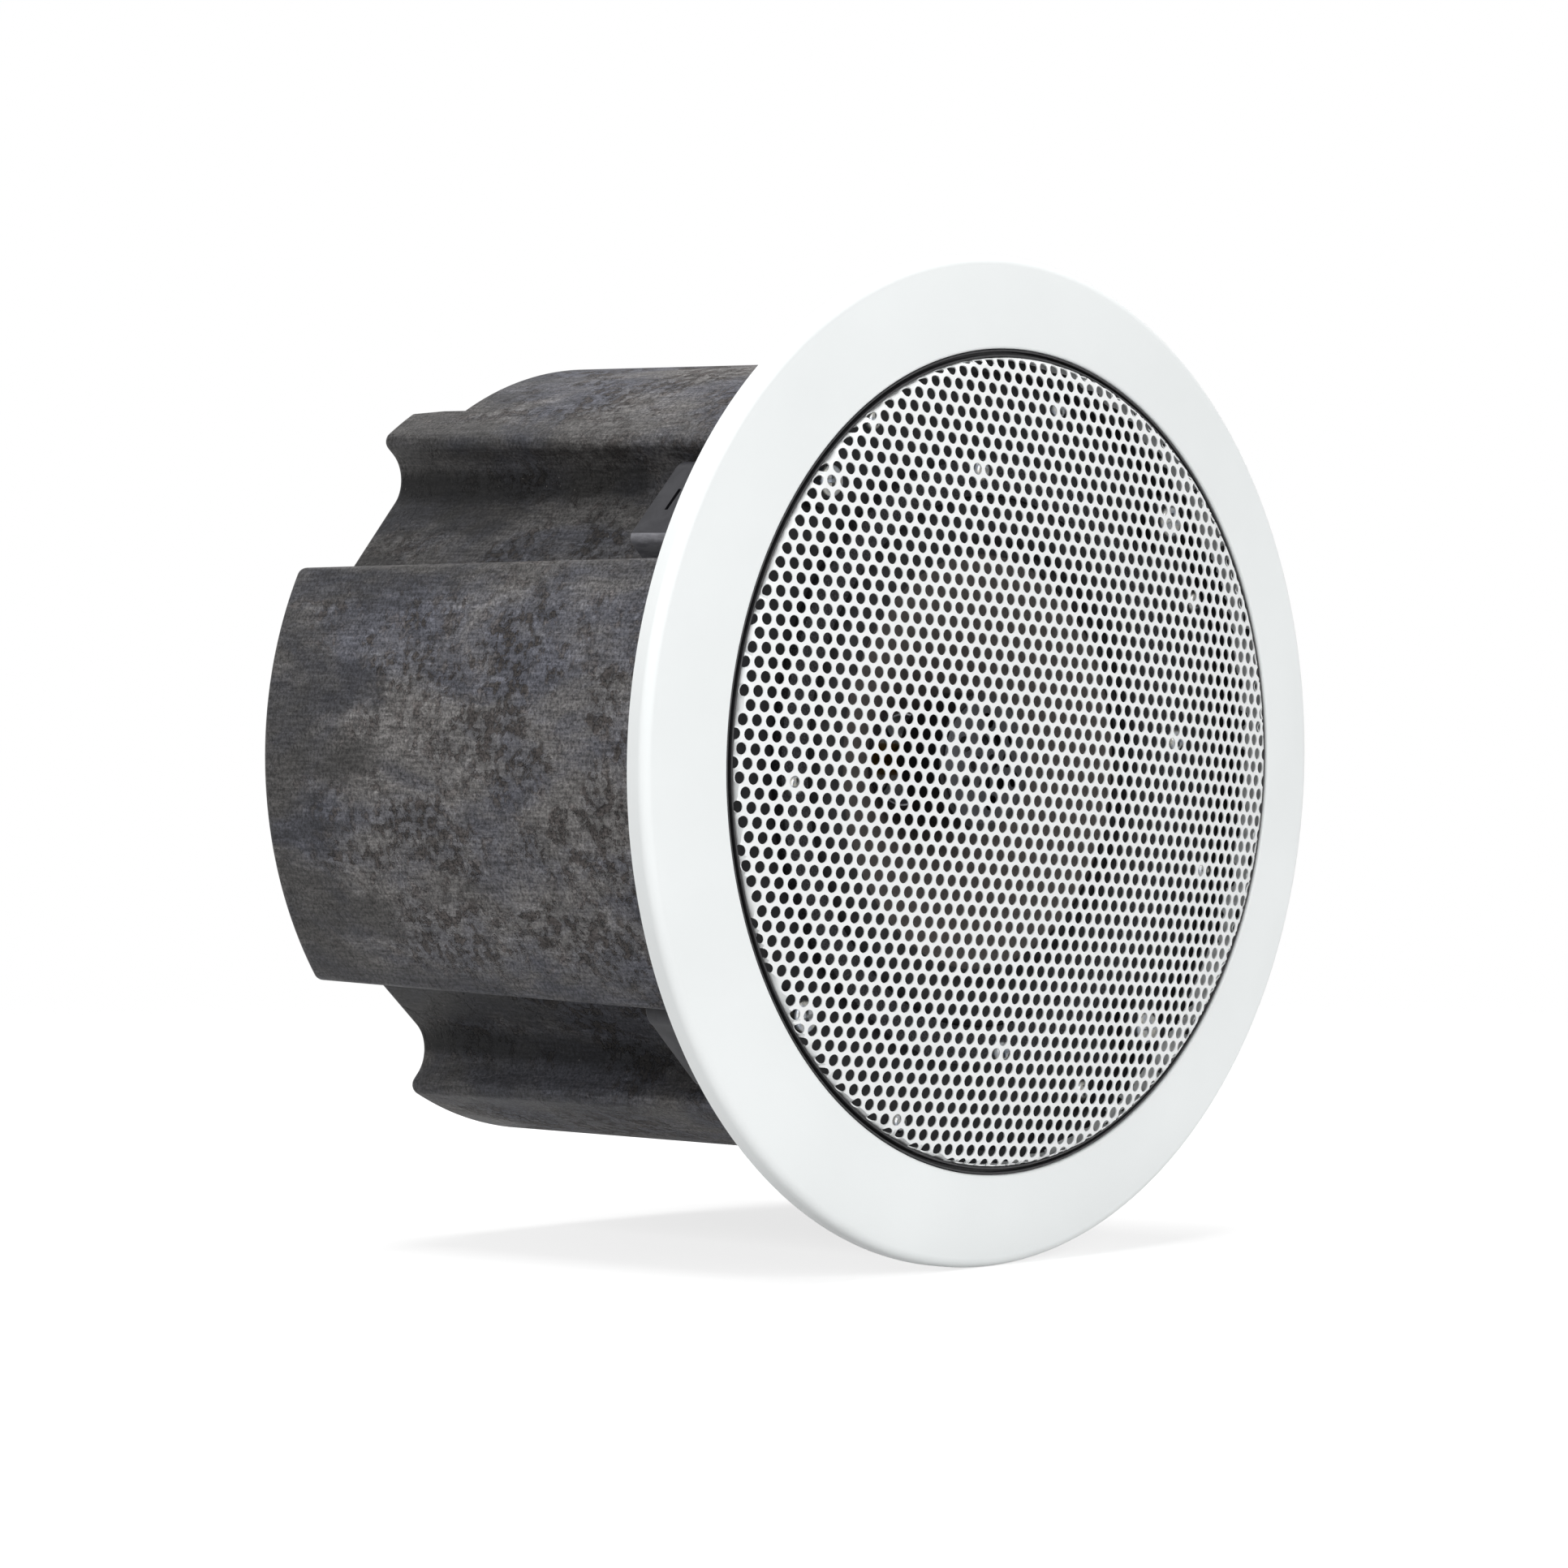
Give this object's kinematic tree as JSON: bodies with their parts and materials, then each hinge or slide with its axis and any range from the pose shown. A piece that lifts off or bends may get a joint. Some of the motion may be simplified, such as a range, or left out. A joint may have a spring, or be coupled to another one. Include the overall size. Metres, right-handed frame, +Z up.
{
  "type": "in ceiling speaker",
  "caption": "Round in ceiling speaker: white flange and domed perforated grille over a coaxial driver, with a deep fluted back can and swing-out clamp dogs.",
  "frame": {"origin": "on the speaker's axis, in the plane where the flange meets the ceiling", "axes": "+Y along the axis into the ceiling, grille towards -Y, +Z up and +X to the right as pictured"},
  "size_m": [0.28, 0.1965, 0.28],
  "materials": {
    "white_satin": "satin moulded white",
    "white_powder": "fine powder coat",
    "black_rubber": "soft matt",
    "grey_foam": "closed cell foam",
    "black_moulded": "matt moulded",
    "grey_structural_foam": "mottled structural foam",
    "dog_grey": "smooth moulded",
    "zinc_steel": "zinc plated",
    "brass": "turned",
    "black_steel": "black coated pressing",
    "cone_grey": "light grey diaphragm",
    "spider_cloth": "resin treated weave",
    "copper_wire": "enamelled winding",
    "former_foil": "thin foil",
    "ferrite": "ground ferrite",
    "grey_fibre": "felted fibre",
    "tweeter_grey": "turned and anodised",
    "dome_silk": "coated dome",
    "screen_metal": "perforated screen",
    "board_green": "solder mask",
    "capacitor_black": "sleeved",
    "terminal_black": "moulded"
  },
  "bodies": {
    "speaker": {"trim_flange": "white_satin", "grille": "white_powder", "grille_seal": "black_rubber", "ceiling_gasket": "grey_foam", "can_gasket": "grey_foam", "baffle": "black_moulded", "back_can": "grey_structural_foam", "can_screws": "zinc_steel", "trim_screws": "zinc_steel", "driver_screws": "zinc_steel", "terminal_screws": "zinc_steel", "basket": "black_steel", "surround": "black_rubber", "driver_gasket": "grey_foam", "spider": "spider_cloth", "top_plate": "zinc_steel", "magnet": "ferrite", "pole_yoke": "zinc_steel", "driver_terminals": "black_moulded", "tweeter_body": "tweeter_grey", "tweeter_dome": "dome_silk", "tweeter_screen": "screen_metal", "tweeter_post": "brass", "tweeter_nut": "zinc_steel", "crossover_board": "board_green", "crossover_capacitors": "capacitor_black", "crossover_coil": "copper_wire", "damping_pad": "grey_fibre", "terminal_plate": "black_moulded", "terminal_block": "terminal_black"},
    "cone_assembly": {"cone": "cone_grey", "voice_coil_former": "former_foil", "voice_coil": "copper_wire"},
    "clamp_screw_1": {"clamp_screw_1": "zinc_steel", "clamp_clip_1": "zinc_steel"},
    "clamp_bush_1": {"clamp_bush_1": "brass"},
    "clamp_dog_1": {"clamp_dog_1": "dog_grey"},
    "clamp_screw_2": {"clamp_screw_2": "zinc_steel", "clamp_clip_2": "zinc_steel"},
    "clamp_bush_2": {"clamp_bush_2": "brass"},
    "clamp_dog_2": {"clamp_dog_2": "dog_grey"},
    "clamp_screw_3": {"clamp_screw_3": "zinc_steel", "clamp_clip_3": "zinc_steel"},
    "clamp_bush_3": {"clamp_bush_3": "brass"},
    "clamp_dog_3": {"clamp_dog_3": "dog_grey"},
    "clamp_screw_4": {"clamp_screw_4": "zinc_steel", "clamp_clip_4": "zinc_steel"},
    "clamp_bush_4": {"clamp_bush_4": "brass"},
    "clamp_dog_4": {"clamp_dog_4": "dog_grey"}
  },
  "joints": [
    {"name": "cone_travel", "type": "slide", "parent": "speaker", "child": "cone_assembly", "axis": [0, 1, 0], "range_m": [-0.003, 0.003], "stiffness_N_per_m": 1500, "deforming": ["surround", "spider"]},
    {"name": "clamp_screw_1_turn", "type": "hinge", "parent": "speaker", "child": "clamp_screw_1", "pos_m": [0.0806, 0, 0.06252], "axis": [0, 1, 0], "range_deg": [0, 3600]},
    {"name": "clamp_bush_1_travel", "type": "slide", "parent": "speaker", "child": "clamp_bush_1", "axis": [0, 1, 0], "range_m": [-0.02, 0]},
    {"name": "clamp_dog_1_swing", "type": "hinge", "parent": "clamp_bush_1", "child": "clamp_dog_1", "pos_m": [0.0806, 0, 0.06252], "axis": [0, 1, 0], "range_deg": [0, 90]},
    {"name": "clamp_screw_2_turn", "type": "hinge", "parent": "speaker", "child": "clamp_screw_2", "pos_m": [-0.06252, 0, 0.0806], "axis": [0, 1, 0], "range_deg": [0, 3600]},
    {"name": "clamp_bush_2_travel", "type": "slide", "parent": "speaker", "child": "clamp_bush_2", "axis": [0, 1, 0], "range_m": [-0.02, 0]},
    {"name": "clamp_dog_2_swing", "type": "hinge", "parent": "clamp_bush_2", "child": "clamp_dog_2", "pos_m": [-0.06252, 0, 0.0806], "axis": [0, 1, 0], "range_deg": [0, 90]},
    {"name": "clamp_screw_3_turn", "type": "hinge", "parent": "speaker", "child": "clamp_screw_3", "pos_m": [-0.0806, 0, -0.06252], "axis": [0, 1, 0], "range_deg": [0, 3600]},
    {"name": "clamp_bush_3_travel", "type": "slide", "parent": "speaker", "child": "clamp_bush_3", "axis": [0, 1, 0], "range_m": [-0.02, 0]},
    {"name": "clamp_dog_3_swing", "type": "hinge", "parent": "clamp_bush_3", "child": "clamp_dog_3", "pos_m": [-0.0806, 0, -0.06252], "axis": [0, 1, 0], "range_deg": [0, 90]},
    {"name": "clamp_screw_4_turn", "type": "hinge", "parent": "speaker", "child": "clamp_screw_4", "pos_m": [0.06252, 0, -0.0806], "axis": [0, 1, 0], "range_deg": [0, 3600]},
    {"name": "clamp_bush_4_travel", "type": "slide", "parent": "speaker", "child": "clamp_bush_4", "axis": [0, 1, 0], "range_m": [-0.02, 0]},
    {"name": "clamp_dog_4_swing", "type": "hinge", "parent": "clamp_bush_4", "child": "clamp_dog_4", "pos_m": [0.06252, 0, -0.0806], "axis": [0, 1, 0], "range_deg": [0, 90]}
  ],
  "couplings": [
    {"joint": "clamp_screw_1_turn", "follows": "clamp_bush_1_travel", "rad_per_m": -3141.6},
    {"joint": "clamp_screw_2_turn", "follows": "clamp_bush_2_travel", "rad_per_m": -3141.6},
    {"joint": "clamp_screw_3_turn", "follows": "clamp_bush_3_travel", "rad_per_m": -3141.6},
    {"joint": "clamp_screw_4_turn", "follows": "clamp_bush_4_travel", "rad_per_m": -3141.6}
  ]
}
